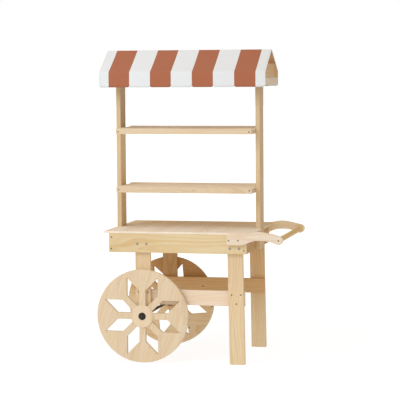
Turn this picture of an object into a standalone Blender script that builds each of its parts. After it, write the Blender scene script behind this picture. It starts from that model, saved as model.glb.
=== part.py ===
"""A wooden push vending cart: a table on two legs and two fixed wheels, shelves on two posts, a cloth awning.

Metres, +Z up, +X towards the push handle, -Y the front. The origin is on the floor, under the middle of the
whole cart. Every piece hangs on one empty under the middle of the table, so the sizes below are read from there.
"""

import math

import bmesh
import bpy

GAP = 0.0003

# Table top: ten boards side by side, running from front to back.
TABLE_LENGTH = 0.918
TABLE_DEPTH = 0.735
TABLE_TOP = 0.802
TABLE_BOARD_THICK = 0.012
TABLE_BOARD_COUNT = 10

# Apron box under the table top.
APRON_LENGTH = 0.854
APRON_THICK = 0.020
APRON_BOTTOM = 0.674

# Legs, their lower stretchers and the bolts that hold the legs to the apron. The two right legs lean a little:
# their feet stand further towards the handle than their tops, by LEG_LEAN for each metre of height.
LEG_THICK = 0.024
LEG_WIDTH = 0.094
RIGHT_FOOT_X = 0.3637
LEG_LEAN = 0.0155
FOOT_CORNER = 0.006
STRETCHER_END = 0.4067
STRETCHER_BOTTOM = 0.353
STRETCHER_TOP = 0.445
BOLT_SPACING = 0.057
BOLT_SHANK = 0.004
BOLT_HEAD = 0.008
BOLT_HEAD_HEIGHT = 0.004
WHEEL_LEG_BOLT_Z = 0.727
RIGHT_LEG_BOLT_Z = 0.707
RIGHT_LEG_BOLT_X = 0.354

# Posts and shelves.
POST_THICK = 0.028
POST_WIDTH = 0.115
POST_Y = -0.0165
POST_TOP = 1.828
SHELF_DEPTH = 0.348
SHELF_Y = -0.0195
SHELF_HEIGHT = 0.0350
SHELF_RAIL_THICK = 0.020
SHELF_PANEL_THICK = 0.012
SHELF_BACK_LIP = 0.005
SHELF_TOPS = {"lower": 1.0595, "upper": 1.4205}

# Awning: cloth over two solid gables, a ridge beam and two eave battens.
AWNING_LENGTH = 1.040
AWNING_HALF_DEPTH = 0.2086
AWNING_TOP = 1.900
EAVE_Z = 1.765
VALANCE_BOTTOM = 1.673
CLOTH = 0.003
GABLE_THICK = 0.018
GABLE_SET_BACK = 0.002
GABLE_BOTTOM = 1.683
GABLE_CORNER = 0.016
RIDGE_WIDTH = 0.024
RIDGE_HEIGHT = 0.058
BATTEN_THICK = 0.020
BATTEN_BOTTOM = 1.700
BATTEN_HEIGHT = 0.050
TIE_HEIGHT = 0.045

# Wheels: flat discs with eight diamond openings, on one rod through both wheel legs.
WHEEL_X = -0.220
WHEEL_RADIUS = 0.285
WHEEL_THICK = 0.024
OPENING_COUNT = 8
OPENING_INNER = 0.182 * WHEEL_RADIUS
OPENING_SIDE = 0.383 * WHEEL_RADIUS
FRONT_WHEEL_TURN = math.radians(22.4)
REAR_WHEEL_TURN = FRONT_WHEEL_TURN + math.radians(94.9)
HUB_RADIUS = 0.070
HUB_THICK = 0.007
AXLE_RADIUS = 0.009
AXLE_FLANGE = 0.022
AXLE_FLANGE_THICK = 0.003
AXLE_HEAD = 0.011
AXLE_HEAD_HEIGHT = 0.006
WASHER_RADIUS = 0.0325
WASHER_THICK = 0.004

# Push handle: two curved arms and a round grip between them.
ARM_THICK = 0.025
GRIP_X = 0.6265
GRIP_Z = 0.7625
GRIP_RADIUS = 0.0165
ARM_TIP_RADIUS = 0.0268
ARM_START = 0.310
ARM_BOTTOM = 0.730
ARM_TOP = 0.798
ARM_CORNER = 0.008
ARM_TOP_EDGE = [(0.400, 0.7985), (0.445, 0.8020), (0.480, 0.8090), (0.513, 0.8110), (0.550, 0.8065), (0.590, 0.7985)]
ARM_UNDERSIDE = [(0.600, 0.7440), (0.578, 0.7520), (0.550, 0.7575), (0.510, 0.7595), (0.474, 0.7565),
                 (0.440, 0.7440), (0.410, 0.7330), (0.385, 0.7300)]

EDGE_ROUNDING = 0.0018
TIGHT_ROUNDING = 0.0007
SIDES = {"front": -1, "rear": 1}
ENDS = {"left": -1, "right": 1}
APRON_TOP = TABLE_TOP - TABLE_BOARD_THICK - GAP
APRON_INNER = TABLE_DEPTH / 2 - APRON_THICK
LEG_OUTER = APRON_INNER - GAP
LEG_INNER = LEG_OUTER - LEG_THICK
WHEEL_OUTER = APRON_INNER + WHEEL_THICK
ARM_TIP_X = GRIP_X + ARM_TIP_RADIUS
CART_X = (AWNING_LENGTH / 2 - ARM_TIP_X) / 2
STANDING = {"XY": (0, 0, 0), "XZ": (math.pi / 2, 0, 0), "YZ": (math.pi / 2, 0, math.pi / 2)}

COLOURS = {
    "apron_pine": (0.78, 0.58, 0.35),
    "leg_pine": (0.76, 0.55, 0.34),
    "table_pine": (0.68, 0.47, 0.30),
    "shelf_pine": (0.76, 0.58, 0.38),
    "post_pine": (0.74, 0.54, 0.33),
    "handle_pine": (0.80, 0.64, 0.46),
    "wheel_pine": (0.76, 0.55, 0.36),
    "awning_cloth": (0.60, 0.24, 0.13),
    "bolt_steel": (0.45, 0.43, 0.40),
    "axle_steel": (0.02, 0.02, 0.02),
}


def clear_scene():
    for item in list(bpy.data.objects):
        bpy.data.objects.remove(item)


def new_collection(name):
    collection = bpy.data.collections.new(name)
    bpy.context.scene.collection.children.link(collection)
    return collection


def material(node, finish):
    metal = finish.endswith("steel")
    made = bpy.data.materials.new(f"{node}_{finish}")
    made.use_nodes = True
    shader = made.node_tree.nodes["Principled BSDF"]
    shader.inputs["Base Color"].default_value = (*COLOURS[finish], 1)
    shader.inputs["Roughness"].default_value = 0.4 if metal else 0.65
    shader.inputs["Metallic"].default_value = 1.0 if metal else 0.0
    return made


def place(name, mesh, finish, location, rotation=(0, 0, 0)):
    """Puts a mesh in the cart as one named piece, measured from the middle of the table."""
    piece = bpy.data.objects.new(name, mesh)
    cart.objects.link(piece)
    piece.parent = table_middle
    piece.location = location
    piece.rotation_euler = rotation
    mesh.materials.append(material(name, finish))
    mesh.shade_smooth()
    mesh.set_sharp_from_angle(angle=math.radians(35))
    return piece


def round_edges(piece, width):
    bevel = piece.modifiers.new("rounded edges", "BEVEL")
    bevel.width = width
    bevel.segments = 2
    bevel.limit_method = "ANGLE"
    bevel.angle_limit = math.radians(50)
    bevel.use_clamp_overlap = False


def board(name, finish, low, high, rounding=EDGE_ROUNDING):
    """A sawn board between two opposite corners, with its edges rounded."""
    mesh = bpy.data.meshes.new(name)
    shape = bmesh.new()
    bmesh.ops.create_cube(shape, size=1)
    bmesh.ops.scale(shape, vec=[top - bottom for bottom, top in zip(low, high)], verts=shape.verts)
    shape.to_mesh(mesh)
    shape.free()
    piece = place(name, mesh, finish, [(bottom + top) / 2 for bottom, top in zip(low, high)])
    round_edges(piece, rounding)
    return piece


def plate(name, finish, outlines, thick, plane, offset, rounding=EDGE_ROUNDING):
    """A flat piece cut to an outline, with any further outlines as holes, standing in the named plane."""
    curve = bpy.data.curves.new(name, "CURVE")
    curve.dimensions = "2D"
    curve.fill_mode = "BOTH"
    curve.extrude = thick / 2
    for outline in outlines:
        spline = curve.splines.new("POLY")
        spline.points.add(len(outline) - 1)
        for point, (across, up) in zip(spline.points, outline):
            point.co = (across, up, 0, 1)
        spline.use_cyclic_u = True
    drawing = bpy.data.objects.new(name + "_outline", curve)
    cart.objects.link(drawing)
    bpy.context.view_layer.update()
    evaluated = drawing.evaluated_get(bpy.context.evaluated_depsgraph_get())
    mesh = bpy.data.meshes.new_from_object(evaluated)
    mesh.materials.clear()
    bpy.data.objects.remove(drawing)
    shape = bmesh.new()
    shape.from_mesh(mesh)
    bmesh.ops.remove_doubles(shape, verts=shape.verts, dist=0.00001)
    bmesh.ops.recalc_face_normals(shape, faces=shape.faces)
    bmesh.ops.dissolve_limit(shape, angle_limit=0.002, verts=shape.verts, edges=shape.edges)
    shape.to_mesh(mesh)
    shape.free()
    location = {"XY": (0, 0, offset), "XZ": (0, offset, 0), "YZ": (offset, 0, 0)}[plane]
    piece = place(name, mesh, finish, location, STANDING[plane])
    if rounding:
        round_edges(piece, rounding)
    return piece


def turned(name, finish, profile, location, side, steps=16, ring=False):
    """A round piece about the Y axis, from a profile of (radius, height) that runs down its outer side."""
    mesh = bpy.data.meshes.new(name)
    count = len(profile)
    edges = [(index, index + 1) for index in range(count - 1)]
    if ring:
        edges.append((count - 1, 0))
    mesh.from_pydata([(radius, 0, height) for radius, height in profile], edges, [])
    piece = place(name, mesh, finish, location, (-side * math.pi / 2, 0, 0))
    screw = piece.modifiers.new("turned", "SCREW")
    screw.steps = steps
    screw.render_steps = steps
    screw.use_merge_vertices = True
    screw.merge_threshold = 0.00005
    return piece


def arc(centre, radius, start, end, steps):
    """Points on an arc, from one angle to another in degrees."""
    angles = [math.radians(start + (end - start) * step / steps) for step in range(steps + 1)]
    return [(centre[0] + radius * math.cos(angle), centre[1] + radius * math.sin(angle)) for angle in angles]


def circle(centre, radius, steps=12):
    return arc(centre, radius, 0, 360, steps)[:-1]


def rectangle(left, bottom, right, top):
    return [(left, bottom), (right, bottom), (right, top), (left, top)]


def smooth(points, steps=3):
    """A smooth curve through the points, with a few steps between each two."""
    ends = [points[0], *points, points[-1]]
    found = []
    for before, start, end, after in zip(ends, ends[1:], ends[2:], ends[3:]):
        for step in range(steps):
            t = step / steps
            found.append(tuple(
                0.5 * (2 * b + (c - a) * t + (2 * a - 5 * b + 4 * c - d) * t**2 + (3 * b - a - 3 * c + d) * t**3)
                for a, b, c, d in zip(before, start, end, after)
            ))
    return [*found, points[-1]]


def build_aprons():
    half = APRON_LENGTH / 2
    bolt_holes = [circle(centre, BOLT_SHANK + GAP, 8) for centre in bolt_places()]
    for side_name, side in SIDES.items():
        outline = rectangle(-half, APRON_BOTTOM, half, APRON_TOP)
        middle = side * (APRON_INNER + APRON_THICK / 2)
        plate(f"{side_name}_apron", "apron_pine", [outline, *bolt_holes], APRON_THICK, "XZ", middle)
    for end_name, end in ENDS.items():
        inner, outer = sorted([end * half, end * (half - APRON_THICK)])
        reach = APRON_INNER - GAP
        board(f"{end_name}_apron", "apron_pine", (inner, -reach, APRON_BOTTOM), (outer, reach, APRON_TOP))


def bolt_places():
    """(X, Z) of the two bolts of the wheel leg, and then of the two of the right leg."""
    pairs = [(WHEEL_X, WHEEL_LEG_BOLT_Z), (RIGHT_LEG_BOLT_X, RIGHT_LEG_BOLT_Z)]
    return [(x + shift * BOLT_SPACING / 2, z) for x, z in pairs for shift in (-1, 1)]


def build_legs():
    holes = [circle(centre, BOLT_SHANK + GAP, 8) for centre in bolt_places()]
    half = LEG_WIDTH / 2
    round_end = arc((WHEEL_X, WHEEL_RADIUS), half, 180, 360, 12)
    wheel_leg = [(WHEEL_X + half, APRON_TOP), (WHEEL_X - half, APRON_TOP), *round_end]
    axle_hole = circle((WHEEL_X, WHEEL_RADIUS), AXLE_RADIUS + GAP)
    top_x = RIGHT_FOOT_X - LEG_LEAN * APRON_TOP
    foot_left = arc((RIGHT_FOOT_X - half + FOOT_CORNER, FOOT_CORNER), FOOT_CORNER, 180, 270, 4)
    foot_right = arc((RIGHT_FOOT_X + half - FOOT_CORNER, FOOT_CORNER), FOOT_CORNER, 270, 360, 4)
    right_leg = [*foot_left, *foot_right, (top_x + half, APRON_TOP), (top_x - half, APRON_TOP)]
    for side_name, side in SIDES.items():
        middle = side * (LEG_OUTER + LEG_INNER) / 2
        cuts = [wheel_leg, axle_hole, *holes[:2]]
        plate(f"{side_name}_wheel_leg", "leg_pine", cuts, LEG_THICK, "XZ", middle)
        plate(f"{side_name}_right_leg", "leg_pine", [right_leg, *holes[2:]], LEG_THICK, "XZ", middle)
        outer = LEG_INNER - GAP
        near, far = sorted([side * outer, side * (outer - LEG_THICK)])
        low = (WHEEL_X - half, near, STRETCHER_BOTTOM)
        board(f"{side_name}_stretcher", "leg_pine", low, (STRETCHER_END, far, STRETCHER_TOP))


def build_leg_bolts():
    tip = APRON_THICK + LEG_THICK + 0.004
    profile = [
        (0, BOLT_HEAD_HEIGHT),
        (BOLT_HEAD * 0.7, BOLT_HEAD_HEIGHT * 0.85),
        (BOLT_HEAD, BOLT_HEAD_HEIGHT * 0.3),
        (BOLT_HEAD, GAP),
        (BOLT_SHANK, GAP),
        (BOLT_SHANK, -tip),
        (0, -tip),
    ]
    labels = ["wheel_leg_bolt_left", "wheel_leg_bolt_right", "right_leg_bolt_left", "right_leg_bolt_right"]
    for side_name, side in SIDES.items():
        for label, (x, z) in zip(labels, bolt_places()):
            place_at = (x, side * TABLE_DEPTH / 2, z)
            turned(f"{side_name}_{label}", "bolt_steel", profile, place_at, side, steps=8)


def build_table():
    width = TABLE_LENGTH / TABLE_BOARD_COUNT
    half_depth = TABLE_DEPTH / 2
    bottom = TABLE_TOP - TABLE_BOARD_THICK
    notch_x = APRON_LENGTH / 2
    notch_front, notch_back = POST_Y - POST_WIDTH / 2 - GAP, POST_Y + POST_WIDTH / 2 + GAP
    for index in range(TABLE_BOARD_COUNT):
        left = -TABLE_LENGTH / 2 + index * width
        right = left + width - GAP
        name = f"table_board_{index + 1}"
        if 0 < index < TABLE_BOARD_COUNT - 1:
            low, high = (left, -half_depth, bottom), (right, half_depth, TABLE_TOP)
            board(name, "table_pine", low, high, TIGHT_ROUNDING)
            continue
        end = -1 if index == 0 else 1
        outer, inner = (left, right) if end < 0 else (right, left)
        outline = [(outer, -half_depth), (inner, -half_depth), (inner, half_depth), (outer, half_depth)]
        outline += [(outer, notch_back), (end * notch_x, notch_back), (end * notch_x, notch_front)]
        outline += [(outer, notch_front)]
        middle = bottom + TABLE_BOARD_THICK / 2
        plate(name, "table_pine", [outline], TABLE_BOARD_THICK, "XY", middle, TIGHT_ROUNDING)


def build_posts():
    near, far = POST_Y - POST_WIDTH / 2, POST_Y + POST_WIDTH / 2
    for end_name, end in ENDS.items():
        inner = APRON_LENGTH / 2 + GAP
        left, right = sorted([end * inner, end * (inner + POST_THICK)])
        board(f"{end_name}_post", "post_pine", (left, near, APRON_BOTTOM), (right, far, POST_TOP - GAP))


def build_shelves():
    half = APRON_LENGTH / 2 - GAP
    front, back = SHELF_Y - SHELF_DEPTH / 2, SHELF_Y + SHELF_DEPTH / 2
    inner_front, inner_back = front + SHELF_RAIL_THICK + GAP, back - SHELF_RAIL_THICK - GAP
    for level, top in SHELF_TOPS.items():
        bottom = top - SHELF_HEIGHT
        panel_bottom = top - SHELF_PANEL_THICK
        name = f"{level}_shelf"
        board(f"{name}_front_rail", "shelf_pine", (-half, front, bottom), (half, front + SHELF_RAIL_THICK, top))
        rear_low = (-half, back - SHELF_RAIL_THICK, bottom)
        board(f"{name}_rear_rail", "shelf_pine", rear_low, (half, back, top + SHELF_BACK_LIP))
        board(f"{name}_panel", "shelf_pine", (-half, inner_front, panel_bottom), (half, inner_back, top))
        for end_name, end in ENDS.items():
            left, right = sorted([end * half, end * (half - SHELF_RAIL_THICK)])
            high = (right, inner_back, panel_bottom - GAP)
            board(f"{name}_{end_name}_rail", "shelf_pine", (left, inner_front, bottom), high)


def roof_line(inset, bottom):
    """The awning's cross-section from front bottom over the ridge to rear bottom, moved inwards by inset."""
    pitch = math.atan2(AWNING_TOP - EAVE_Z, AWNING_HALF_DEPTH)
    ridge = AWNING_TOP - inset / math.cos(pitch)
    reach = AWNING_HALF_DEPTH - inset
    eave = ridge - reach * math.tan(pitch)
    points = [(-reach, bottom), (-reach, eave), (0, ridge), (reach, eave), (reach, bottom)]
    return [(POST_Y + across, up) for across, up in points]


def build_awning():
    outer = roof_line(0, VALANCE_BOTTOM)
    inner = roof_line(CLOTH, VALANCE_BOTTOM)
    section = [*outer, *reversed(inner)]
    plate("awning_cover", "awning_cloth", [section], AWNING_LENGTH, "YZ", 0, rounding=0)

    inset = CLOTH + GAP
    upper = roof_line(inset, GABLE_BOTTOM)[1:4]
    reach = AWNING_HALF_DEPTH - inset
    corner_z = GABLE_BOTTOM + GABLE_CORNER
    rear_corner = arc((POST_Y + reach - GABLE_CORNER, corner_z), GABLE_CORNER, 0, -90, 5)
    front_corner = arc((POST_Y - reach + GABLE_CORNER, corner_z), GABLE_CORNER, -90, -180, 5)
    gable_outer = AWNING_LENGTH / 2 - GABLE_SET_BACK
    for end_name, end in ENDS.items():
        middle = end * (gable_outer - GABLE_THICK / 2)
        outline = [*upper, *rear_corner, *front_corner]
        plate(f"{end_name}_gable", "post_pine", [outline], GABLE_THICK, "YZ", middle)

    between = gable_outer - GABLE_THICK - GAP
    half_ridge = RIDGE_WIDTH / 2
    low = (-between, POST_Y - half_ridge, POST_TOP)
    board("ridge_beam", "post_pine", low, (between, POST_Y + half_ridge, POST_TOP + RIDGE_HEIGHT))
    for side_name, side in SIDES.items():
        near, far = sorted([POST_Y + side * reach, POST_Y + side * (reach - BATTEN_THICK)])
        low = (-between, near, BATTEN_BOTTOM)
        board(f"{side_name}_eave_batten", "post_pine", low, (between, far, BATTEN_BOTTOM + BATTEN_HEIGHT))
    tie_reach = reach - BATTEN_THICK - GAP
    for end_name, end in ENDS.items():
        inner_x = APRON_LENGTH / 2 + POST_THICK + 2 * GAP
        left, right = sorted([end * inner_x, end * (inner_x + BATTEN_THICK)])
        low = (left, POST_Y - tie_reach, BATTEN_BOTTOM)
        board(f"{end_name}_roof_tie", "post_pine", low, (right, POST_Y + tie_reach, BATTEN_BOTTOM + TIE_HEIGHT))


def diamond(turn):
    """One diamond opening: its inner corner near the hub, its long diagonal along a radius."""
    half_angle = math.radians(180 / OPENING_COUNT)
    along = OPENING_SIDE * math.cos(half_angle)
    across = OPENING_SIDE * math.sin(half_angle)
    corners = [(OPENING_INNER, 0), (OPENING_INNER + along, across)]
    corners += [(OPENING_INNER + 2 * along, 0), (OPENING_INNER + along, -across)]
    cos, sin = math.cos(turn), math.sin(turn)
    return [(WHEEL_X + x * cos - z * sin, WHEEL_RADIUS + x * sin + z * cos) for x, z in corners]


def build_wheels():
    centre = (WHEEL_X, WHEEL_RADIUS)
    for side_name, side in SIDES.items():
        turn = REAR_WHEEL_TURN if side > 0 else FRONT_WHEEL_TURN
        openings = [diamond(turn + 2 * math.pi * index / OPENING_COUNT) for index in range(OPENING_COUNT)]
        outlines = [circle(centre, WHEEL_RADIUS, 64), circle(centre, AXLE_RADIUS + GAP), *openings]
        middle = side * (WHEEL_OUTER - WHEEL_THICK / 2)
        plate(f"{side_name}_wheel", "wheel_pine", outlines, WHEEL_THICK, "XZ", middle)

        face = (WHEEL_X, side * (WHEEL_OUTER + GAP), WHEEL_RADIUS)
        hole = AXLE_FLANGE + 0.002
        ring = [(HUB_RADIUS, HUB_THICK - 0.002), (HUB_RADIUS, 0), (hole, 0), (hole, HUB_THICK)]
        ring.append((HUB_RADIUS - 0.002, HUB_THICK))
        turned(f"{side_name}_hub_disc", "wheel_pine", ring, face, side, steps=32, ring=True)
        cap = [(0, AXLE_FLANGE_THICK + AXLE_HEAD_HEIGHT), (AXLE_HEAD, AXLE_FLANGE_THICK + AXLE_HEAD_HEIGHT)]
        cap += [(AXLE_HEAD, AXLE_FLANGE_THICK), (AXLE_FLANGE, AXLE_FLANGE_THICK), (AXLE_FLANGE, 0), (0, 0)]
        turned(f"{side_name}_axle_cap", "axle_steel", cap, face, side, steps=24)

        inside = (WHEEL_X, side * (LEG_INNER - GAP - WASHER_THICK), WHEEL_RADIUS)
        bore = AXLE_RADIUS + GAP
        washer = [(WASHER_RADIUS, WASHER_THICK), (WASHER_RADIUS, 0), (bore, 0), (bore, WASHER_THICK)]
        turned(f"{side_name}_axle_washer", "axle_steel", washer, inside, side, steps=24, ring=True)
    rod = [(0, WHEEL_OUTER), (AXLE_RADIUS, WHEEL_OUTER), (AXLE_RADIUS, -WHEEL_OUTER), (0, -WHEEL_OUTER)]
    turned("axle_rod", "axle_steel", rod, (WHEEL_X, 0, WHEEL_RADIUS), 1, steps=12)


def build_handle():
    tip = arc((GRIP_X, GRIP_Z), ARM_TIP_RADIUS, 72, -112, 10)
    lower_left = arc((ARM_START + ARM_CORNER, ARM_BOTTOM + ARM_CORNER), ARM_CORNER, -90, -180, 4)
    upper_left = arc((ARM_START + ARM_CORNER, ARM_TOP - ARM_CORNER), ARM_CORNER, 180, 90, 4)
    top_edge = smooth([*ARM_TOP_EDGE, tip[0]])[:-1]
    underside = smooth([tip[-1], *ARM_UNDERSIDE])[1:]
    outline = [*upper_left, *top_edge, *tip, *underside, *lower_left]
    inner = TABLE_DEPTH / 2 + GAP
    for side_name, side in SIDES.items():
        middle = side * (inner + ARM_THICK / 2)
        plate(f"{side_name}_handle_arm", "handle_pine", [outline], ARM_THICK, "XZ", middle)
    half = inner - GAP
    grip = [(0, half), (GRIP_RADIUS, half), (GRIP_RADIUS, -half), (0, -half)]
    turned("grip_dowel", "handle_pine", grip, (GRIP_X, 0, GRIP_Z), 1, steps=24)


clear_scene()
cart = new_collection("push_vending_cart")
table_middle = bpy.data.objects.new("table_middle", None)
cart.objects.link(table_middle)
table_middle.location = (CART_X, 0, 0)
build_aprons()
build_legs()
build_leg_bolts()
build_table()
build_posts()
build_shelves()
build_awning()
build_wheels()
build_handle()
bpy.context.view_layer.update()
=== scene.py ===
"""The looks of the wooden push vending cart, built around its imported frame: grain, cloth, screws, light, camera."""

import math

import bmesh
import bpy
from mathutils import Euler, Matrix, Vector


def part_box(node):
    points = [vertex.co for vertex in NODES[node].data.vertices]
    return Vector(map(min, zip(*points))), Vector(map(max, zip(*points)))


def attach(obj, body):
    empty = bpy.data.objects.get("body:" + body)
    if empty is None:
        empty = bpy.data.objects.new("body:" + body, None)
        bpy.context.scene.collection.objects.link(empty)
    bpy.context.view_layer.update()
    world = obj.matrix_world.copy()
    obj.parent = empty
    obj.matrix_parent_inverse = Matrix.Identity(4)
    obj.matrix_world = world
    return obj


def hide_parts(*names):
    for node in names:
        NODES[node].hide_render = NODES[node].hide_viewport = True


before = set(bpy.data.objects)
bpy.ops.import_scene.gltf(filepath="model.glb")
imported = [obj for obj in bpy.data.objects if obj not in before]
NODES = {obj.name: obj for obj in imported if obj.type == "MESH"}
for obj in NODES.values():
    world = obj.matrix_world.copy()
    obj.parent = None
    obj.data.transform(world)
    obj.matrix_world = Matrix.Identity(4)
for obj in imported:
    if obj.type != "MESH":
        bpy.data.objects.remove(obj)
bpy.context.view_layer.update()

# Camera: it stands in front of the cart, a little to its handle side and above the middle.
VIEW_AZIMUTH = 13.13
VIEW_ELEVATION = 4.58
VIEW_ROLL = -0.42
VIEW_DISTANCE = 10.728
VIEW_TARGET = Vector((-0.0077, 0.0, 0.968))
VIEW_LENS = 155.07

# Soft studio light: one large key from the front left, a weaker, warmer surround, and a pale floor that
# sends some light back up and brightens to white further out.
KEY_AZIMUTH = -28
KEY_ELEVATION = 34
KEY_DISTANCE = 4.2
KEY_SIZE = 1.6
KEY_POWER = 42
KEY_COLOUR = (0.90, 1.0, 1.12)
SURROUND_LIGHT = 0.19
SURROUND_COLOUR = (1.20, 0.90, 0.60, 1)
OVERHEAD_LIGHT = 0.88
OVERHEAD_COLOUR = (1.0, 0.98, 0.92, 1)
OVERHEAD_FROM = (-0.08, -0.52, 0.85)
FLOOR_GLOW = 0.28
FLOOR_COLOUR = (0.75, 0.75, 0.75, 1)
SEEN_GLOW = 0.86
SEEN_COLOUR = (0.24, 0.24, 0.25, 1)
FLOOR_NEAR = 1.2
FLOOR_FAR = 3.5
FLOOR_SIZE = 60
FLOOR_DROP = 0.0005

# The table's middle stands this far along X from the middle of the whole cart.
TABLE_X = -0.06665

# Awning cloth, outer faces.
AWNING_END = 0.520
AWNING_Y = -0.0165
AWNING_REACH = 0.2086
AWNING_TOP = 1.900
EAVE_Z = 1.765
EAVE_ROUND = 0.010
RIDGE_ROUND = 0.005
VALANCE_BOTTOM = 1.673
CLOTH_THICK = 0.0018
STRIPE_WIDTH = 0.1312
END_STRIPE = 0.0608
STRIPE_COUNT = 7
TAB_CORNER = 0.012
TAB_CORNER_STEPS = 5
TAB_FADE = 0.035
COLUMN_WIDTH = 0.014
# How far the cloth strays from flat: between its supports, in ripples along the roof, and at the valance.
ROOF_SAG = 0.0021
ROOF_RIPPLE = 0.0006
VALANCE_WAVE = 0.0007
STITCH = 0.0045
STITCH_PITCH = 1.35 * STITCH
HEM = 0.009
# How fast the sine of the woven threads runs, in radians for each metre.
WEAVE = 3600

# Gable boards, from the bottom up, as the heights of their joints.
GABLE_BOTTOM = 1.683
GABLE_JOINTS = (1.727, 1.813)
GABLE_GAP = 0.0002
GABLE_CORNER = 0.016
GABLE_THICK = 0.018
GABLE_FACE = 0.518
GABLE_INSET = 0.0033
GABLE_EDGE = 0.0012

# Wood screws: the head, how far it stands out, the recess, and the faces that screws go into, as distances
# from the middle of the cart.
SCREW_HEAD = 0.0046
SCREW_PROUD = 0.00028
SCREW_SIDES = 24
CROSS_ARM = 0.0023
CROSS_CORE = 0.0009
CROSS_DEPTH = 0.0003
APRON_FACE = 0.3675
ARM_FACE = 0.3928
LEG_FACE = 0.3472
POST_FACE = 0.4553
SHELF_FACES = {-1: -0.1935, 1: 0.1545}


def linear(red, green, blue):
    """A colour given as 0 to 255 screen values, in the linear values that shaders take."""
    values = []
    for value in (red / 255, green / 255, blue / 255):
        values.append(value / 12.92 if value <= 0.04045 else ((value + 0.055) / 1.055) ** 2.4)
    return (*values, 1)


def middle_of(node):
    low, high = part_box(node)
    return (low + high) / 2


class Graph:
    """A small helper for building a material's nodes."""

    def __init__(self, name):
        self.material = bpy.data.materials.new(name)
        self.material.use_nodes = True
        self.nodes = self.material.node_tree.nodes
        self.links = self.material.node_tree.links
        self.shader = self.nodes["Principled BSDF"]

    def add(self, kind, settings=None, **inputs):
        node = self.nodes.new("ShaderNode" + kind)
        for key, value in (settings or {}).items():
            setattr(node, key, value)
        for key, value in inputs.items():
            self.feed(node.inputs[key.replace("_", " ")], value)
        return node

    def feed(self, socket, value):
        if isinstance(value, bpy.types.NodeSocket):
            self.links.new(value, socket)
        else:
            socket.default_value = value

    def math(self, operation, first, second=0.0, third=0.0):
        node = self.nodes.new("ShaderNodeMath")
        node.operation = operation
        for socket, value in zip(node.inputs, (first, second, third)):
            self.feed(socket, value)
        return node.outputs[0]

    def mix(self, factor, first, second, blend="MIX"):
        node = self.nodes.new("ShaderNodeMix")
        node.data_type = "RGBA"
        node.blend_type = blend
        self.feed(node.inputs[0], factor)
        self.feed(node.inputs[6], first)
        self.feed(node.inputs[7], second)
        return node.outputs[2]

    def vector(self, operation, first, second):
        node = self.nodes.new("ShaderNodeVectorMath")
        node.operation = operation
        self.feed(node.inputs[0], first)
        self.feed(node.inputs["Scale" if operation == "SCALE" else 1], second)
        return node.outputs["Value" if operation == "DISTANCE" else "Vector"]

    def ramp(self, factor, stops):
        """Grey values, blended between the stops: (position, grey)."""
        node = self.nodes.new("ShaderNodeValToRGB")
        elements = node.color_ramp.elements
        while len(elements) < len(stops):
            elements.new(0.5)
        for element, (position, grey) in zip(elements, stops):
            element.position = position
            element.color = (grey, grey, grey, 1)
        self.feed(node.inputs[0], factor)
        return node.outputs[0]

    def spread(self, value, low=0.0, high=1.0, first=0.0, last=1.0, kind="LINEAR"):
        """The value, moved from the range low to high into the range first to last."""
        node = self.add("MapRange", {"interpolation_type": kind}, Value=value)
        for key, number in (("From Min", low), ("From Max", high), ("To Min", first), ("To Max", last)):
            node.inputs[key].default_value = number
        return node.outputs[0]

    def noise(self, place, scales, detail, roughness=0.5):
        """Noise with its own scale along each axis, so that it can be drawn out along the grain or the weft."""
        stretched = self.add("Mapping", Vector=place, Scale=scales).outputs[0]
        return self.add("TexNoise", Vector=stretched, Scale=1.0, Detail=detail, Roughness=roughness)

    def bump(self, height, strength, distance):
        return self.add("Bump", Height=height, Strength=strength, Distance=distance).outputs[0]

    def surface(self, **inputs):
        """Feeds the shader and gives the material."""
        for key, value in inputs.items():
            self.feed(self.shader.inputs[key.replace("_", " ")], value)
        return self.material


TO_GRAIN = {"X": Euler((0, -math.pi / 2, 0)), "Y": Euler((math.pi / 2, 0, 0)), "Z": Euler((0, 0, 0))}


# How much late wood each part of a year's ring shows, from the start of the year to its end.
YEAR = ((0.0, 0.10), (0.45, 0.22), (0.80, 0.85), (0.90, 1.0), (0.97, 0.15))
LATE_WOOD = 0.62
KNOT_TONE = linear(84, 46, 24)
SEAM_TONE = linear(120, 84, 50)
SEAM_WIDTH = 0.0011
# A glued disc's first joint lies this far to one side of its centre.
FIRST_JOINT = 0.023


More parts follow.
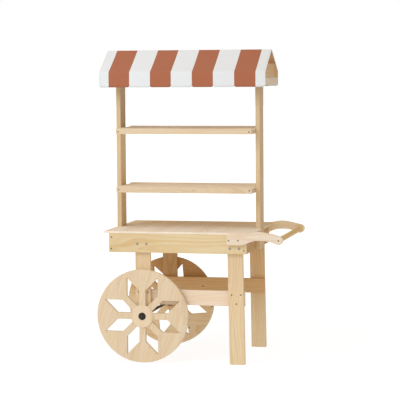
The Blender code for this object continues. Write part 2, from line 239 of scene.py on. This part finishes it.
def wood(name, light, dark, grain, centre, seed, knots=(), ring=0.0075, figure=1.0, wide=0.0, across="X",
         tint=None, slant=0.0):
    """Planed pine: growth rings about a pith line beside the board, fibres, and slow changes of tone.

    light and dark are the early and late wood. grain is the axis the fibres follow. A piece glued from boards
    gives wide, each board's width, and across, the axis that they are counted along. knots lists (point, radius).
    tint is (axis, start, end, colour): between those two places along the axis, the colour is multiplied in more and
    more; it paints shade onto some boards and light from the floor onto others.
    slant, in degrees, turns the fibres of an upright disc towards +X at their upper ends.
    """
    graph = Graph(name)
    place = graph.add("TexCoord").outputs["Object"]
    lean = Euler((0.035 * math.sin(seed * 2.1), 0.035 * math.cos(seed * 1.3), seed * 1.7)).to_matrix()
    turn = lean @ TO_GRAIN[grain].to_matrix() @ Matrix.Rotation(math.radians(-slant), 3, "Y")
    pith = Vector((0.045 + 0.02 * math.sin(seed * 5.3), 0.055 + 0.02 * math.cos(seed * 3.9), seed * 0.31))
    shift = pith - turn @ centre
    along = graph.add("Mapping", Vector=place, Location=shift, Rotation=turn.to_euler()).outputs[0]
    if wide:
        spot = graph.add("SeparateXYZ", Vector=place).outputs[across]
        start = centre["XYZ".index(across)] - FIRST_JOINT - 10 * wide
        counted = graph.math("DIVIDE", graph.math("SUBTRACT", spot, start), wide)
        number = graph.math("ADD", graph.math("FLOOR", counted), seed * 0.37)
        drawn = graph.add("TexWhiteNoise", {"noise_dimensions": "1D"}, W=number)
        along = graph.vector("ADD", along, graph.vector("SCALE", drawn.outputs["Color"], 0.4))

    # The pith line wanders, which draws the rings out into long tongues on a flat-sawn face.
    wander = graph.noise(along, (9, 9, 1.7), 1.5, 0.4).outputs["Color"]
    centred = graph.vector("SUBTRACT", wander, (0.5, 0.5, 0.5))
    bent = graph.vector("ADD", along, graph.vector("SCALE", centred, 0.045 * figure))
    axes = graph.add("SeparateXYZ", Vector=bent)
    squares = [graph.math("MULTIPLY", axes.outputs[key], axes.outputs[key]) for key in "XY"]
    radius = graph.math("SQRT", graph.math("ADD", *squares))

    # Rings swell round a knot, whose core is dark.
    knot = None
    for point, size in knots:
        near = graph.math("DIVIDE", graph.vector("DISTANCE", place, point), size)
        pull = graph.math("MULTIPLY", graph.math("POWER", 0.45, near), size * 0.9)
        radius = graph.math("ADD", radius, pull)
        core = graph.spread(near, 1.0, 0.45)
        knot = core if knot is None else graph.math("MAXIMUM", knot, core)

    count = graph.math("DIVIDE", radius, ring)
    uneven = graph.add("TexNoise", {"noise_dimensions": "1D"}, W=graph.math("MULTIPLY", count, 0.35), Detail=2.0)
    count = graph.math("ADD", count, graph.math("MULTIPLY", uneven.outputs[0], 1.6))
    late = graph.ramp(graph.math("FRACT", count), YEAR)
    fibre = graph.noise(along, (420, 420, 9), 3.0, 0.6).outputs["Fac"]
    patch = graph.noise(along, (14, 14, 2.2), 2.0).outputs["Fac"]

    colour = graph.mix(graph.math("MULTIPLY", late, LATE_WOOD), light, dark)
    warm = (light[0] * 0.97, light[1] * 0.86, light[2] * 0.72, 1)
    colour = graph.mix(graph.spread(patch, 0.45, 0.75, 0.0, 0.5), colour, warm)
    colour = graph.mix(graph.spread(fibre, 0.35, 0.7, 0.0, 0.30), colour, dark)
    if wide:
        tone = graph.ramp(drawn.outputs["Value"], ((0.0, 0.90), (1.0, 1.06)))
        colour = graph.mix(1.0, colour, tone, "MULTIPLY")
        edge = graph.math("ABSOLUTE", graph.math("SUBTRACT", graph.math("FRACT", counted), 0.5))
        colour = graph.mix(graph.spread(edge, 0.5 - SEAM_WIDTH / wide, 0.5, 0.0, 0.35), colour, SEAM_TONE)
    # Painted shade and painted light: a colour multiplied in along one axis.
    if tint:
        axis, start, end, strength = tint
        spot = graph.add("SeparateXYZ", Vector=place).outputs[axis]
        tone = graph.mix(graph.spread(spot, start, end, kind="SMOOTHSTEP"), (1, 1, 1, 1), (*strength, 1))
        colour = graph.mix(1.0, colour, tone, "MULTIPLY")
    if knot is not None:
        colour = graph.mix(knot, colour, KNOT_TONE)

    height = graph.math("ADD", graph.math("MULTIPLY", late, 0.5), fibre)
    return graph.surface(Base_Color=colour, Roughness=graph.spread(fibre, first=0.50, last=0.68),
                         Specular_IOR_Level=0.32, Normal=graph.bump(height, 0.22, 0.0005))


def metal(name, colour, roughness, metallic):
    """Plated or blackened steel with fine turning marks and uneven gloss."""
    graph = Graph(name)
    place = graph.add("TexCoord").outputs["Object"]
    marks = graph.add("TexNoise", Vector=place, Scale=900, Detail=3.0).outputs["Fac"]
    worn = graph.add("TexNoise", Vector=place, Scale=120.0, Detail=4.0).outputs["Fac"]
    lighter = tuple(min(1, value * 1.5 + 0.01) for value in colour[:3])
    gloss = graph.spread(marks, first=roughness - 0.08, last=roughness + 0.12)
    return graph.surface(Base_Color=graph.mix(worn, colour, (*lighter, 1)), Roughness=gloss, Metallic=metallic,
                         Normal=graph.bump(marks, 0.1, 0.0002))


def striped_cloth(name, start, shade=1.0):
    """Plain-woven cloth in broad stripes, terracotta and white, counted along X from start."""
    graph = Graph(name)
    place = graph.add("TexCoord").outputs["Object"]
    axes = graph.add("SeparateXYZ", Vector=place)
    counted = graph.math("DIVIDE", graph.math("SUBTRACT", axes.outputs["X"], start), 2 * STRIPE_WIDTH)
    band = graph.math("LESS_THAN", graph.math("FRACT", counted), 0.5)
    fade = graph.math("MULTIPLY", graph.add("TexNoise", Vector=place, Scale=7.0, Detail=3.0).outputs["Fac"], 0.25)
    stripes = []
    for fresh, faded in (((230, 234, 240), (224, 226, 226)), ((172, 106, 78), (182, 118, 91))):
        shaded = (*(value * shade for value in linear(*fresh)[:3]), 1)
        stripes.append(graph.mix(fade, shaded, linear(*faded)))
    colour = graph.mix(band, *stripes)

    slope = graph.math("ADD", axes.outputs["Y"], axes.outputs["Z"])
    weft = graph.math("SINE", graph.math("MULTIPLY", axes.outputs["X"], WEAVE))
    warp = graph.math("SINE", graph.math("MULTIPLY", slope, WEAVE))
    slub = graph.noise(place, (40, 900, 900), 2.0).outputs["Fac"]
    thread = graph.math("ADD", graph.math("MULTIPLY", graph.math("MULTIPLY", weft, warp), 0.5), slub)
    texture = graph.ramp(thread, ((0.0, 0.955), (1.0, 1.0)))
    return graph.surface(Base_Color=graph.mix(1.0, colour, texture, "MULTIPLY"), Roughness=0.85,
                         Specular_IOR_Level=0.15, Sheen_Weight=0.12, Normal=graph.bump(thread, 0.25, 0.0004))


# Tones of the timber: the early and the late wood. Some also hold painted shade and painted light, as marked below.
TONES = {
    "apron": (linear(231, 217, 182), linear(214, 178, 118)),
    "table": (linear(250, 244, 231), linear(234, 209, 187)),
    "table_warm": (linear(246, 238, 223), linear(229, 203, 179)),
    "arm": (linear(238, 227, 211), linear(222, 195, 165)),
    "wheel": (linear(236, 222, 196), linear(219, 184, 146)),
    "leg": (linear(230, 212, 179), linear(210, 173, 130)),
    "post": (linear(225, 207, 174), linear(205, 169, 122)),
    "shelf": (linear(229, 215, 191), linear(210, 175, 133)),
    "dowel": (linear(236, 212, 158), linear(216, 179, 116)),
    "gable_top": (linear(205, 170, 122), linear(184, 128, 66)),
    "gable_middle": (linear(222, 200, 168), linear(206, 160, 104)),
    "gable_bottom": (linear(240, 230, 216), linear(214, 196, 176)),
    # Painted shade on the rear wheel leg.
    "deep": (linear(206, 170, 121), linear(181, 131, 78)),
    "warm_arm": (linear(245, 233, 206), linear(230, 200, 158)),
    "shelf_top": (linear(252, 243, 226), linear(236, 208, 176)),
    # Painted light from the floor, on the front stretcher.
    "pale": (linear(242, 228, 210), linear(230, 200, 172)),
    # Painted shade, in the next four tones: the right apron, the rear wheel, the rear stretcher and the rear right
    # leg.
    "end": (linear(203, 170, 121), linear(184, 137, 83)),
    "aged": (linear(236, 217, 182), linear(218, 178, 130)),
    "amber": (linear(221, 189, 142), linear(200, 150, 92)),
    "gold": (linear(230, 204, 162), linear(210, 166, 112)),
}

# Boards with a tone of their own, beside those of their kind. The tones of the rear wheel, the rear wheel leg, the
# right apron, the rear stretcher and the rear right leg are darker and warmer: painted shade, as these boards sit in
# shade. The front stretcher's paler tone is painted light from the floor below.
OWN_AND_PAINTED_LIGHT_TONES = {
    # Painted shade: the rear wheel, its leg, the right apron, the rear stretcher and the rear right leg. Painted
    # light from the floor: the front stretcher.
    "rear_wheel": "aged",
    "rear_wheel_leg": "deep",
    "front_stretcher": "pale",
    "right_apron": "end",
    "rear_stretcher": "amber",
    "rear_handle_arm": "warm_arm",
    "rear_right_leg": "gold",
    "upper_shelf_rear_rail": "shelf_top",
    "table_board_2": "table_warm",
    "table_board_4": "table_warm",
    "table_board_7": "table_warm",
}

# Part of the node name, tone, axis of the grain, width of one ring, and how far the rings wander.
FINISHES = [
    ("table_board", "table", "Y", 0.0090, 1.3),
    ("left_apron", "apron", "Y", 0.0080, 1.0),
    ("right_apron", "apron", "Y", 0.0080, 1.0),
    ("apron", "apron", "X", 0.0200, 2.0),
    ("right_leg", "leg", "Z", 0.0160, 2.3),
    ("wheel_leg", "leg", "Z", 0.0075, 1.0),
    ("stretcher", "leg", "X", 0.0120, 1.4),
    ("post", "post", "Z", 0.0060, 1.0),
    ("shelf_front_rail", "shelf", "X", 0.0070, 1.0),
    ("shelf_rear_rail", "shelf", "X", 0.0070, 1.0),
    ("shelf_panel", "shelf_top", "X", 0.0070, 1.0),
    ("shelf_left_rail", "shelf", "Y", 0.0070, 1.0),
    ("shelf_right_rail", "shelf", "Y", 0.0070, 1.0),
    ("ridge_beam", "post", "X", 0.0070, 1.0),
    ("batten", "post", "X", 0.0070, 1.0),
    ("roof_tie", "post", "Y", 0.0070, 1.0),
    ("handle_arm", "arm", "X", 0.0080, 1.2),
    ("grip_dowel", "dowel", "Y", 0.0050, 1.0),
    ("hub_disc", "wheel", "Z", 0.0080, 1.0),
]

# Colour multiplied into boards along their length: axis, start, end, colour multiplied in at the end. The rear
# wheel's darker top is painted shade from the table, and the paler lower ends of the rear wheel leg and the right
# legs are painted light from the floor. The front apron turns darker towards its left end, the gables' top boards
# darker and more orange towards their lower edges, and the right gable's middle board darker towards the back.
TINTS = {
    # Painted shade: the rear wheel darkens towards its top.
    "rear_wheel": ("Z", 0.22, 0.46, (0.75, 0.56, 0.36)),
    # Painted light from the floor: these legs turn paler towards the bottom.
    "rear_wheel_leg": ("Z", 0.42, 0.27, (1.20, 1.34, 1.45)),
    "rear_right_leg": ("Z", 0.50, 0.12, (1.10, 1.26, 1.50)),
    "front_right_leg": ("Z", 0.62, 0.30, (1.05, 1.07, 1.08)),
    "front_apron": ("X", 0.00, -0.40, (0.94, 0.90, 0.86)),
    "left_gable_top_board": ("Z", 1.850, 1.820, (0.86, 0.62, 0.30)),
    "right_gable_top_board": ("Z", 1.850, 1.820, (0.86, 0.62, 0.30)),
    "right_gable_middle_board": ("Y", 0.02, 0.10, (0.98, 0.80, 0.52)),
}

# Painted shade: the table's boards turn darker and warmer towards the back, where the lower shelf shades them.
for index in range(1, 11):
    TINTS[f"table_board_{index}"] = ("Y", -0.09, 0.26, (0.90, 0.78, 0.61))

# Knots: place, with X measured from the table's middle, and radius.
KNOTS = {
    "rear_wheel": (((-0.1015, 0.3475, 0.108), 0.007), ((0.052, 0.3475, 0.250), 0.006)),
    "rear_stretcher": (((0.005, 0.299, 0.388), 0.006),),
    "table_board_2": (((-0.312, -0.350, 0.802), 0.006),),
    "lower_shelf_front_rail": (((0.063, -0.1935, 1.0435), 0.0035),),
    "right_apron": (((0.427, -0.10, 0.742), 0.007),),
}


def knots_of(name):
    return [((point[0] + TABLE_X, *point[1:]), size) for point, size in KNOTS.get(name, ())]


def finish_nodes():
    """Gives each CAD node that keeps its shape its own material, with its own stretch of grain."""
    zinc = metal("zinc_plated_steel", linear(158, 150, 142), 0.38, 0.9)
    black = metal("black_steel", linear(30, 27, 26), 0.45, 0.2)
    for number, name in enumerate(sorted(NODES)):
        node = NODES[name]
        slots = node.data.materials
        if "bolt" in name:
            made = zinc
        elif "axle" in name:
            made = black
        elif name.endswith("_wheel"):
            made = wheel_wood(name, number)
        elif name == "awning_cover" or name.endswith("_gable"):
            continue
        else:
            tone, grain, ring, figure = next(row[1:] for row in FINISHES if row[0] in name)
            light, dark = TONES[OWN_AND_PAINTED_LIGHT_TONES.get(name, tone)]
            made = wood(name + "_pine", light, dark, grain, middle_of(name), number * 1.37 + 0.5, knots_of(name),
                        ring=ring, figure=figure, tint=TINTS.get(name))
        slots.clear()
        slots.append(made)
        if any(word in name for word in ("bolt", "axle", "hub", "dowel")):
            node.data.shade_smooth()
            node.data.set_sharp_from_angle(angle=math.radians(35))
        else:
            node.data.shade_flat()


def wheel_wood(name, number):
    light, dark = TONES[OWN_AND_PAINTED_LIGHT_TONES.get(name, "wheel")]
    front = name.startswith("front")
    grain, across = ("Z", "X") if front else ("X", "Z")
    return wood(name + "_pine", light, dark, grain, middle_of(name), number * 1.37 + 0.5, knots_of(name),
                ring=0.012, wide=0.135, across=across, figure=2.0, tint=TINTS.get(name), slant=16 if front else 5)


def new_piece(name, shape, made, smooth=35):
    mesh = bpy.data.meshes.new(name)
    shape.to_mesh(mesh)
    shape.free()
    mesh.materials.append(made)
    mesh.shade_smooth()
    mesh.set_sharp_from_angle(angle=math.radians(smooth))
    piece = bpy.data.objects.new(name, mesh)
    bpy.context.scene.collection.objects.link(piece)
    return piece


def rounded_line(points, radii, steps=5, spacing=0.012):
    """An open line through the points, its corners rounded, with points no further apart than the spacing."""
    found = [Vector(points[0])]
    for before, corner, after, radius in zip(points, points[1:], points[2:], radii):
        corner, before, after = Vector(corner), Vector(before), Vector(after)
        back, ahead = (before - corner).normalized(), (after - corner).normalized()
        half = back.angle(ahead) / 2
        reach = radius / math.tan(half)
        centre = corner + (back + ahead).normalized() * radius / math.sin(half)
        start, end = (corner + back * reach - centre).normalized(), (corner + ahead * reach - centre).normalized()
        for step in range(steps + 1):
            found.append(centre + start.slerp(end, step / steps) * radius)
    found.append(Vector(points[-1]))
    line = [found[0]]
    for start, end in zip(found, found[1:]):
        count = max(1, math.ceil((end - start).length / spacing))
        line += [start.lerp(end, (step + 1) / count) for step in range(count)]
    return line


def stripe_edges():
    first = TABLE_X - AWNING_END + END_STRIPE
    return [first + STRIPE_WIDTH * index for index in range(STRIPE_COUNT + 1)]


def edge_lift(x, notches):
    """How far the lower edge of the valance rises near a rounded corner of one of its tabs."""
    gap = min(abs(x - notch) for notch in notches)
    if gap >= TAB_CORNER:
        return 0.0
    return TAB_CORNER - math.sqrt(max(0.0, TAB_CORNER**2 - (TAB_CORNER - gap) ** 2))


def hollow(up, across, side):
    """How far a slope of the roof sinks. up and across run from 0 to 1 between its supports."""
    depth = ROOF_SAG * math.sin(math.pi * across) ** 0.5 + ROOF_RIPPLE * math.sin(9.0 * math.pi * across + side)
    return depth * math.sin(math.pi * up)


def flutter(x, side, drop):
    """How far the valance strays from its plane. drop runs from 0 at the eave to 1 at the lower edge."""
    far = x - TABLE_X + AWNING_END
    wave = math.sin(24.0 * far + 0.8 * side) + 0.6 * math.sin(57.0 * far + side)
    return VALANCE_WAVE * wave * drop**1.5


def cloth_columns(left, right, edges):
    """Where the cloth's columns of points stand along X: closer together at the corners of the tabs."""
    columns = set()
    for start, end in zip([left, *edges], [*edges, right]):
        for index in range(TAB_CORNER_STEPS + 1):
            step = TAB_CORNER * (1 - math.cos(math.pi / 2 * index / TAB_CORNER_STEPS))
            columns |= {round(start + step, 5), round(end - step, 5)}
        count = max(2, round((end - start) / COLUMN_WIDTH))
        inner = [start + TAB_CORNER + (end - start - 2 * TAB_CORNER) * index / count for index in range(1, count)]
        columns |= {round(x, 5) for x in inner}
    return sorted(columns)


def make_awning():
    """One cloth over ridge and eaves: slight hollows between its supports, and a valance cut into tabs."""
    half = CLOTH_THICK / 2
    left, right = TABLE_X - AWNING_END, TABLE_X + AWNING_END
    reach, pitch = AWNING_REACH - half, math.atan2(AWNING_TOP - EAVE_Z, AWNING_REACH)
    ridge = AWNING_TOP - half / math.cos(pitch)
    eave = ridge - reach * math.tan(pitch)
    corners = [(-reach, VALANCE_BOTTOM, 0), (-reach, eave, 0), (0, ridge, 0), (reach, eave, 0)]
    corners.append((reach, VALANCE_BOTTOM, 0))
    line = rounded_line(corners, (EAVE_ROUND, RIDGE_ROUND, EAVE_ROUND))
    edges = stripe_edges()
    notches = [left, *edges[1:-1], right]

    shape = bmesh.new()
    grid = []
    for x in cloth_columns(left, right, edges):
        row = []
        for y, z, _ in line:
            side = 1 if y > 0 else -1
            if z > eave:
                sunk = hollow((z - eave) / (ridge - eave), (x - left) / (right - left), side)
                moved = (x, AWNING_Y + y - side * sunk * math.sin(pitch), z - sunk * math.cos(pitch))
            else:
                out = flutter(x, side, (eave - z) / (eave - VALANCE_BOTTOM))
                lift = edge_lift(x, notches) * max(0.0, 1 - (z - VALANCE_BOTTOM) / TAB_FADE)
                moved = (x, AWNING_Y + y + out, z + lift)
            row.append(shape.verts.new(moved))
        grid.append(row)
    for first, second in zip(grid, grid[1:]):
        for index in range(len(line) - 1):
            shape.faces.new((first[index], first[index + 1], second[index + 1], second[index]))
    bmesh.ops.recalc_face_normals(shape, faces=shape.faces)
    looks = striped_cloth("striped_cloth", edges[0])
    cloth = new_piece("awning_cloth", shape, looks, smooth=60)
    if cloth.data.polygons[len(cloth.data.polygons) // 2].normal.z < 0:
        cloth.data.flip_normals()
    solid = cloth.modifiers.new("thickness", "SOLIDIFY")
    solid.thickness = CLOTH_THICK
    solid.offset = 0
    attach(cloth, "root")
    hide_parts("awning_cover")

    stitches = make_stitches(line, left, right, notches)


def make_stitches(line, left, right, notches):
    """Rows of stitches along the hem of each valance and of each end."""
    shape = bmesh.new()
    half = CLOTH_THICK / 2

    def stitch(centre, along, out):
        """A low bar with sloping sides, standing a little out of the cloth."""
        side = along.cross(out)
        corners = []
        for height, share in ((half - 0.0003, 0.45), (half + 0.00035, 0.36)):
            reach = STITCH * share / 1.3
            for step, width in ((-1, -1), (1, -1), (1, 1), (-1, 1)):
                corners.append(shape.verts.new(centre + along * reach * step + side * 0.0005 * width + out * height))
        for face in ((4, 5, 6, 7), (0, 1, 5, 4), (1, 2, 6, 5), (2, 3, 7, 6), (3, 0, 4, 7)):
            shape.faces.new([corners[index] for index in face])

    for side in (-1, 1):
        count = int((right - left - 2 * HEM) / STITCH_PITCH)
        for index in range(count):
            x = left + HEM + (index + 0.5) * (right - left - 2 * HEM) / count
            y = AWNING_Y + side * (AWNING_REACH - half) + flutter(x, side, 0.9)
            z = VALANCE_BOTTOM + HEM + edge_lift(x, notches) * 0.75
            stitch(Vector((x, y, z)), Vector((1, 0, 0)), Vector((0, side, 0)))

    lengths = [0.0]
    for start, end in zip(line, line[1:]):
        lengths.append(lengths[-1] + (end - start).length)
    count = int((lengths[-1] - 2 * HEM) / STITCH_PITCH)
    for x in (left + HEM, right - HEM):
        at = 0
        for index in range(count):
            wanted = HEM + (index + 0.5) * (lengths[-1] - 2 * HEM) / count
            while lengths[at + 1] < wanted:
                at += 1
            share = (wanted - lengths[at]) / (lengths[at + 1] - lengths[at])
            y, z, _ = line[at].lerp(line[at + 1], share)
            along = (line[at + 1] - line[at]).normalized()
            along = Vector((0, along.x, along.y))
            out = Vector((1, 0, 0)).cross(along)
            if out.z < -0.01 or (abs(out.z) < 0.01 and out.y * y < 0):
                out = -out
            stitch(Vector((x, AWNING_Y + y, z)), along, out)
    bmesh.ops.recalc_face_normals(shape, faces=shape.faces)
    # The thread has the cloth's own stripe colours, a little darker.
    thread = striped_cloth("hem_thread", stripe_edges()[0], shade=0.86)
    made = new_piece("awning_hem_stitches", shape, thread, smooth=60)
    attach(made, "root")
    return made


def clipped(outline, bottom, top):
    """The part of a convex outline of (y, z) points between two heights."""
    for height, keep_above in ((bottom, True), (top, False)):
        kept = []
        for start, end in zip(outline, [*outline[1:], outline[0]]):
            start_in = (start[1] >= height) == keep_above or abs(start[1] - height) < 1e-9
            end_in = (end[1] >= height) == keep_above or abs(end[1] - height) < 1e-9
            if start_in:
                kept.append(start)
            if start_in != end_in:
                share = (height - start[1]) / (end[1] - start[1])
                kept.append((start[0] + (end[0] - start[0]) * share, height))
        outline = kept
    return outline


def make_gables():
    """Each gable is three boards laid one on another, and each board has its own colour."""
    pitch = math.atan2(AWNING_TOP - EAVE_Z, AWNING_REACH)
    reach = AWNING_REACH - GABLE_INSET
    top = AWNING_TOP - GABLE_INSET / math.cos(pitch)
    eave = top - reach * math.tan(pitch)
    outline = [(reach, eave), (0, top), (-reach, eave)]
    for middle, first in ((-1, 180), (1, 270)):
        centre = (middle * (reach - GABLE_CORNER), GABLE_BOTTOM + GABLE_CORNER)
        for step in range(7):
            angle = math.radians(first + 15 * step)
            outline.append((centre[0] + GABLE_CORNER * math.cos(angle), centre[1] + GABLE_CORNER * math.sin(angle)))
    levels = [GABLE_BOTTOM - 0.001, *GABLE_JOINTS, top + 0.001]
    for end_name, end in (("left", -1), ("right", 1)):
        face = TABLE_X + end * GABLE_FACE
        for index, label in enumerate(("bottom", "middle", "top")):
            part = clipped(outline, levels[index] + GABLE_GAP, levels[index + 1] - GABLE_GAP)
            shape = bmesh.new()
            flat = [shape.verts.new((face, AWNING_Y + y, z)) for y, z in part]
            made = bmesh.ops.extrude_face_region(shape, geom=[shape.faces.new(flat)])
            moved = [item for item in made["geom"] if isinstance(item, bmesh.types.BMVert)]
            bmesh.ops.translate(shape, vec=(-end * GABLE_THICK, 0, 0), verts=moved)
            bmesh.ops.recalc_face_normals(shape, faces=shape.faces)
            sharp = [edge for edge in shape.edges if edge.calc_face_angle(0) > 0.9]
            bmesh.ops.bevel(shape, geom=sharp, offset=GABLE_EDGE, segments=2, affect="EDGES", profile=0.5)
            name = f"{end_name}_gable_{label}_board"
            light, dark = TONES["gable_" + label]
            centre = Vector((face, AWNING_Y + 0.02, (levels[index] + levels[index + 1]) / 2))
            looks = wood(name + "_pine", light, dark, "Y", centre, 3.1 * index + end, ring=0.0065, figure=1.6,
                         tint=TINTS.get(name))
            board = new_piece(name, shape, looks)
            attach(board, "root")
            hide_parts(f"{end_name}_gable")


def screw_places():
    """(point, outward direction) of every countersunk wood screw, with X measured from the table's middle."""
    places = []
    for side in (-1, 1):
        on_faces = (
            (side * APRON_FACE, ((-0.411, 0.766), (-0.412, 0.6955), (0.412, 0.6960))),
            (side * ARM_FACE, ((0.323, 0.758), (0.381, 0.759), (0.6265, 0.7620))),
            (side * LEG_FACE, ((0.331, 0.4240), (0.388, 0.4255), (0.360, 0.370), (-0.190, 0.429), (-0.247, 0.429))),
            (SHELF_FACES[side], ((-0.411, 1.400), (0.411, 1.400), (-0.411, 1.043), (0.411, 1.043))),
        )
        for face, spots in on_faces:
            places += [((x, face, z), (0, side, 0)) for x, z in spots]
    for end in (-1, 1):
        for z in (1.398, 1.0335, 0.735):
            places += [((end * POST_FACE, y, z), (end, 0, 0)) for y in (-0.066, 0.033)]
    return places


def make_screws():
    """Small dark screw heads, each with a cross recess."""
    angles = [2 * math.pi * index / SCREW_SIDES for index in range(SCREW_SIDES)]
    cross = [CROSS_ARM if min(abs(math.cos(a)), abs(math.sin(a))) < 0.3 else CROSS_CORE for a in angles]
    # From the hole's wall, over the head, down into the recess: the radius at each angle, and the height.
    loops = (
        ([SCREW_HEAD] * SCREW_SIDES, -0.0004),
        ([SCREW_HEAD] * SCREW_SIDES, SCREW_PROUD * 0.4),
        ([SCREW_HEAD * 0.93] * SCREW_SIDES, SCREW_PROUD),
        (cross, SCREW_PROUD),
        ([radius * 0.6 for radius in cross], -CROSS_DEPTH),
    )
    shape = bmesh.new()
    for number, (point, out) in enumerate(screw_places()):
        out = Vector(out)
        level = Vector((-out.y, out.x, 0))
        turn = Matrix((level, Vector((0, 0, 1)), out)).transposed() @ Matrix.Rotation(number * 0.7, 3, "Z")
        centre = Vector(point) + Vector((TABLE_X, 0, 0))
        rows = []
        for radii, height in loops:
            spots = [Vector((radius * math.cos(a), radius * math.sin(a), height)) for radius, a in zip(radii, angles)]
            rows.append([shape.verts.new(centre + turn @ spot) for spot in spots])
        for lower, upper in zip(rows, rows[1:]):
            for index in range(SCREW_SIDES):
                after = (index + 1) % SCREW_SIDES
                shape.faces.new((lower[index], lower[after], upper[after], upper[index]))
        shape.faces.new(rows[-1])
    bmesh.ops.recalc_face_normals(shape, faces=shape.faces)
    screws = new_piece("wood_screws", shape, metal("dark_screw_steel", linear(74, 66, 60), 0.42, 0.8))
    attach(screws, "root")


def direction(azimuth, elevation):
    """The way from the cart to something round it, with the azimuth counted from its front towards its handle."""
    azimuth, elevation = math.radians(azimuth), math.radians(elevation)
    level = math.cos(elevation)
    return Vector((math.sin(azimuth) * level, -math.cos(azimuth) * level, math.sin(elevation)))


def set_stage():
    """Camera, key light, surround and floor."""
    scene = bpy.context.scene
    scene.view_settings.view_transform = "Standard"
    back = direction(VIEW_AZIMUTH, VIEW_ELEVATION)
    azimuth, roll = math.radians(VIEW_AZIMUTH), math.radians(VIEW_ROLL)
    level = Vector((math.cos(azimuth), math.sin(azimuth), 0))
    upright = back.cross(level)
    right = math.cos(roll) * level + math.sin(roll) * upright
    up = back.cross(right)
    lens = bpy.data.cameras.new("camera")
    lens.lens = VIEW_LENS
    lens.sensor_width = 36
    camera = bpy.data.objects.new("camera", lens)
    scene.collection.objects.link(camera)
    turn = Matrix((right, up, back)).transposed().to_4x4()
    camera.matrix_world = Matrix.Translation(VIEW_TARGET + back * VIEW_DISTANCE) @ turn
    scene.camera = camera

    towards = direction(KEY_AZIMUTH, KEY_ELEVATION)
    lamp = bpy.data.lights.new("key", "AREA")
    lamp.shape = "SQUARE"
    lamp.size = KEY_SIZE
    lamp.energy = KEY_POWER
    lamp.color = KEY_COLOUR
    key = bpy.data.objects.new("key", lamp)
    key.location = VIEW_TARGET + towards * KEY_DISTANCE
    key.rotation_euler = towards.to_track_quat("Z", "Y").to_euler()
    scene.collection.objects.link(key)

    world = bpy.data.worlds.new("surround")
    scene.world = world
    world.use_nodes = True
    nodes, links = world.node_tree.nodes, world.node_tree.links
    lit = nodes["Background"]
    lit.inputs["Color"].default_value = SURROUND_COLOUR
    lit.inputs["Strength"].default_value = SURROUND_LIGHT
    above = nodes.new("ShaderNodeBackground")
    above.inputs["Color"].default_value = OVERHEAD_COLOUR
    height = nodes.new("ShaderNodeVectorMath")
    height.operation = "DOT_PRODUCT"
    height.inputs[1].default_value = OVERHEAD_FROM
    links.new(nodes.new("ShaderNodeTexCoord").outputs["Generated"], height.inputs[0])
    strength = nodes.new("ShaderNodeMapRange")
    strength.inputs["To Max"].default_value = OVERHEAD_LIGHT
    links.new(height.outputs["Value"], strength.inputs["Value"])
    links.new(strength.outputs[0], above.inputs["Strength"])
    both = nodes.new("ShaderNodeAddShader")
    links.new(lit.outputs[0], both.inputs[0])
    links.new(above.outputs[0], both.inputs[1])
    seen = nodes.new("ShaderNodeBackground")
    seen.inputs["Color"].default_value = (1, 1, 1, 1)
    seen.inputs["Strength"].default_value = 1.0
    choose = nodes.new("ShaderNodeMixShader")
    links.new(nodes.new("ShaderNodeLightPath").outputs["Is Camera Ray"], choose.inputs[0])
    links.new(both.outputs[0], choose.inputs[1])
    links.new(seen.outputs[0], choose.inputs[2])
    links.new(choose.outputs[0], nodes["World Output"].inputs["Surface"])

    shape = bmesh.new()
    bmesh.ops.create_grid(shape, x_segments=1, y_segments=1, size=FLOOR_SIZE)
    floor = new_piece("floor", shape, floor_look())
    floor.location.z = -FLOOR_DROP


def floor_look():
    """Pale paint. It shows only faint shadows, and further out it brightens into the white behind."""
    graph = Graph("floor_paint")
    place = graph.add("TexCoord").outputs["Object"]
    speck = graph.add("TexNoise", Vector=place, Scale=600.0, Detail=2.0).outputs["Fac"]
    seen = graph.add("LightPath").outputs["Is Camera Ray"]
    colour = graph.mix(seen, FLOOR_COLOUR, SEEN_COLOUR)
    colour = graph.mix(1.0, colour, graph.ramp(speck, ((0.0, 0.97), (1.0, 1.0))), "MULTIPLY")
    gap = graph.add("VectorMath", {"operation": "LENGTH"}, Vector=place).outputs["Value"]
    glow = graph.add("Mix", {"data_type": "FLOAT"})
    graph.feed(glow.inputs[0], seen)
    graph.feed(glow.inputs[2], FLOOR_GLOW)
    graph.feed(glow.inputs[3], graph.spread(gap, FLOOR_NEAR, FLOOR_FAR, SEEN_GLOW, 1.0, "SMOOTHSTEP"))
    return graph.surface(Base_Color=colour, Roughness=0.9, Specular_IOR_Level=0.0,
                         Emission_Color=(1, 1, 1, 1), Emission_Strength=glow.outputs[0])


set_stage()
finish_nodes()

make_awning()
make_gables()
make_screws()
